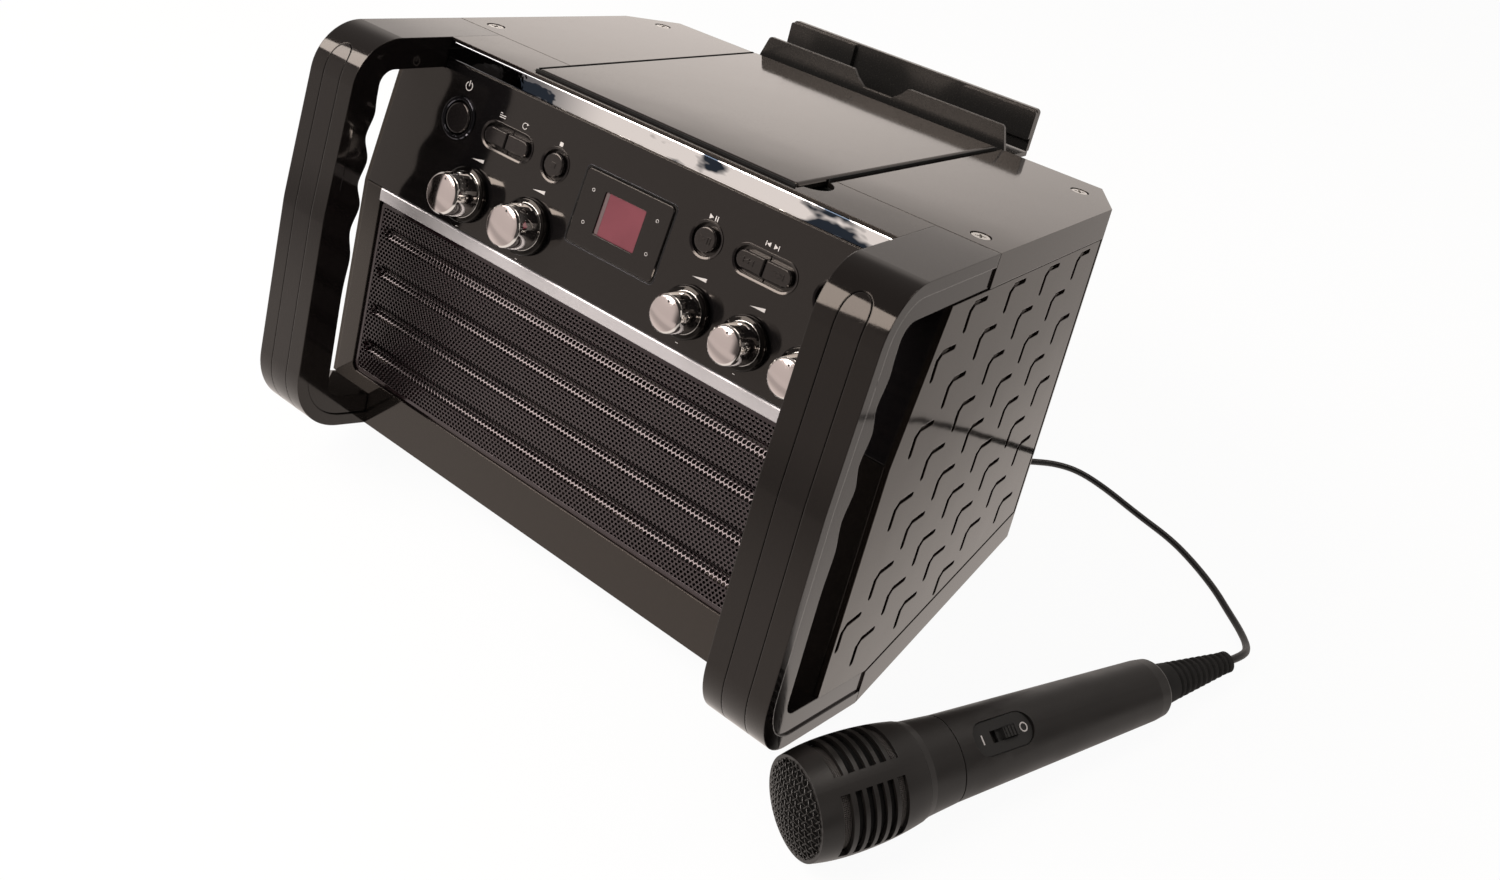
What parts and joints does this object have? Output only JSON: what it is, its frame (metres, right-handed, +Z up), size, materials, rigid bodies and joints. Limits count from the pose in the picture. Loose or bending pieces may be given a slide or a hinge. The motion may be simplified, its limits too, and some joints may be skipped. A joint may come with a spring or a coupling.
{
  "type": "karaoke machine",
  "caption": "Portable karaoke machine with a top-loading disc door, loop handles, knobs and buttons, a tablet cradle and a corded microphone.",
  "frame": {"origin": "on the table, under the middle of the box round the machine and its microphone, the cord left out", "axes": "+X to the right of someone facing the control panel, +Y from the panel to the rear wall, +Z up; the cabinet is tipped back 10 degrees onto its feet"},
  "size_m": [0.4863, 0.3812, 0.2528],
  "materials": {
    "gloss_black_abs": "piano gloss",
    "handle_black": "piano gloss",
    "inlay_grey": "gloss",
    "chrome_trim": "polished",
    "satin_silver": "satin",
    "grille_black": "satin",
    "panel_black": "gloss",
    "button_silver": "satin chrome",
    "knob_chrome": "chrome with a satin face",
    "lens_red": "clear red",
    "circuit_board": "solder mask",
    "steel": "brushed",
    "speaker_basket": "satin",
    "paper_cone": "matte",
    "matte_black": "fine texture",
    "mic_matte": "rubberised matte",
    "mic_mesh": "woven wire",
    "rubber_feet": "matte",
    "cord_pvc": "satin",
    "screw_chrome": "polished"
  },
  "bodies": {
    "cabinet": {"front_cabinet": "gloss_black_abs", "rear_cabinet": "gloss_black_abs", "side_panel_right": "gloss_black_abs", "side_panel_left": "gloss_black_abs", "handle_wrap_right": "handle_black", "handle_wrap_left": "handle_black", "handle_core_right": "handle_black", "handle_core_left": "handle_black", "handle_inlay_right": "inlay_grey", "handle_inlay_left": "inlay_grey", "trim_strip": "chrome_trim", "silver_strip": "satin_silver", "grille": "grille_black", "control_panel": "panel_black", "display_bezel": "panel_black", "display_lens": "lens_red", "power_ring": "satin_silver", "control_board": "circuit_board", "speaker_frame_left": "speaker_basket", "speaker_frame_right": "speaker_basket", "speaker_cone_left": "paper_cone", "speaker_cone_right": "paper_cone", "disc_deck": "matte_black", "door_pins": "steel", "motor_bracket": "steel", "cradle_bracket": "gloss_black_abs", "cradle_pins": "steel", "rear_sockets": "matte_black", "top_screws": "screw_chrome", "feet": "rubber_feet", "mic_grip": "mic_matte", "mic_switch_plate": "mic_matte", "mic_neck": "mic_matte", "mic_head": "mic_matte", "mic_mesh": "mic_mesh", "mic_capsule": "mic_matte", "mic_relief": "mic_matte", "mic_cord": "cord_pvc", "mic_cord_coil": "cord_pvc", "mic_cord_lead": "cord_pvc", "mic_plug": "matte_black"},
    "button_power": {"button_power": "button_silver"},
    "button_stop": {"button_stop": "button_silver"},
    "button_play": {"button_play": "button_silver"},
    "button_light": {"button_light": "button_silver"},
    "button_function": {"button_function": "button_silver"},
    "button_program": {"button_program": "button_silver"},
    "button_skip_back": {"button_skip_back": "button_silver"},
    "button_skip_forward": {"button_skip_forward": "button_silver"},
    "knob_mic": {"knob_mic": "knob_chrome"},
    "knob_master": {"knob_master": "knob_chrome"},
    "knob_echo": {"knob_echo": "knob_chrome"},
    "knob_balance": {"knob_balance": "knob_chrome"},
    "knob_avc": {"knob_avc": "knob_chrome"},
    "disc_door": {"disc_door": "gloss_black_abs"},
    "spindle": {"spindle": "matte_black"},
    "laser_sled": {"laser_sled": "matte_black"},
    "lead_screw": {"lead_screw": "steel"},
    "cradle_rest": {"cradle_rest": "gloss_black_abs"},
    "mic_switch": {"mic_switch": "mic_matte"}
  },
  "joints": [
    {"name": "button_power_press", "type": "slide", "parent": "cabinet", "child": "button_power", "axis": [0, 0.9397, -0.342], "range_m": [0, 0.0015], "stiffness_N_per_m": 400, "springref_m": -0.0005},
    {"name": "button_stop_press", "type": "slide", "parent": "cabinet", "child": "button_stop", "axis": [0, 0.9397, -0.342], "range_m": [0, 0.0015], "stiffness_N_per_m": 400, "springref_m": -0.0005},
    {"name": "button_play_press", "type": "slide", "parent": "cabinet", "child": "button_play", "axis": [0, 0.9397, -0.342], "range_m": [0, 0.0015], "stiffness_N_per_m": 400, "springref_m": -0.0005},
    {"name": "button_light_press", "type": "slide", "parent": "cabinet", "child": "button_light", "axis": [0, 0.9397, -0.342], "range_m": [0, 0.0015], "stiffness_N_per_m": 400, "springref_m": -0.0005},
    {"name": "button_function_press", "type": "slide", "parent": "cabinet", "child": "button_function", "axis": [0, 0.9397, -0.342], "range_m": [0, 0.0015], "stiffness_N_per_m": 400, "springref_m": -0.0005},
    {"name": "button_program_press", "type": "slide", "parent": "cabinet", "child": "button_program", "axis": [0, 0.9397, -0.342], "range_m": [0, 0.0015], "stiffness_N_per_m": 400, "springref_m": -0.0005},
    {"name": "button_skip_back_press", "type": "slide", "parent": "cabinet", "child": "button_skip_back", "axis": [0, 0.9397, -0.342], "range_m": [0, 0.0015], "stiffness_N_per_m": 400, "springref_m": -0.0005},
    {"name": "button_skip_forward_press", "type": "slide", "parent": "cabinet", "child": "button_skip_forward", "axis": [0, 0.9397, -0.342], "range_m": [0, 0.0015], "stiffness_N_per_m": 400, "springref_m": -0.0005},
    {"name": "knob_mic_turn", "type": "hinge", "parent": "cabinet", "child": "knob_mic", "pos_m": [-0.16727, -0.10509, 0.17715], "axis": [0, -0.9397, 0.342], "range_deg": [-150, 150]},
    {"name": "knob_master_turn", "type": "hinge", "parent": "cabinet", "child": "knob_master", "pos_m": [-0.12277, -0.10509, 0.17715], "axis": [0, -0.9397, 0.342], "range_deg": [-150, 150]},
    {"name": "knob_echo_turn", "type": "hinge", "parent": "cabinet", "child": "knob_echo", "pos_m": [-0.01677, -0.10509, 0.17715], "axis": [0, -0.9397, 0.342], "range_deg": [-150, 150]},
    {"name": "knob_balance_turn", "type": "hinge", "parent": "cabinet", "child": "knob_balance", "pos_m": [0.01723, -0.10509, 0.17715], "axis": [0, -0.9397, 0.342], "range_deg": [-150, 150]},
    {"name": "knob_avc_turn", "type": "hinge", "parent": "cabinet", "child": "knob_avc", "pos_m": [0.05073, -0.10509, 0.17715], "axis": [0, -0.9397, 0.342], "range_deg": [-150, 150]},
    {"name": "disc_door_hinge", "type": "hinge", "parent": "cabinet", "child": "disc_door", "pos_m": [-0.06927, 0.12651, 0.20297], "axis": [-1, 0, 0], "range_deg": [0, 75]},
    {"name": "spindle_spin", "type": "hinge", "parent": "cabinet", "child": "spindle", "pos_m": [-0.06927, 0.00848, 0.20449], "axis": [0, 0.1736, 0.9848], "continuous": true},
    {"name": "sled_slide", "type": "slide", "parent": "cabinet", "child": "laser_sled", "axis": [0, 0.9848, -0.1736], "range_m": [-0.006, 0.03]},
    {"name": "lead_screw_turn", "type": "hinge", "parent": "cabinet", "child": "lead_screw", "pos_m": [-0.05377, 0.03776, 0.1978], "axis": [0, 0.9848, -0.1736], "range_deg": [-1100, 5420]},
    {"name": "cradle_rest_fold", "type": "hinge", "parent": "cabinet", "child": "cradle_rest", "pos_m": [-0.06927, 0.17599, 0.19851], "axis": [1, 0, 0], "range_deg": [0, 62]},
    {"name": "mic_switch_slide", "type": "slide", "parent": "cabinet", "child": "mic_switch", "axis": [-0.4277, -0.9025, 0.0505], "range_m": [0, 0.006]}
  ],
  "couplings": [
    {"joint": "lead_screw_turn", "follows": "sled_slide", "rad_per_m": 3141.6}
  ]
}
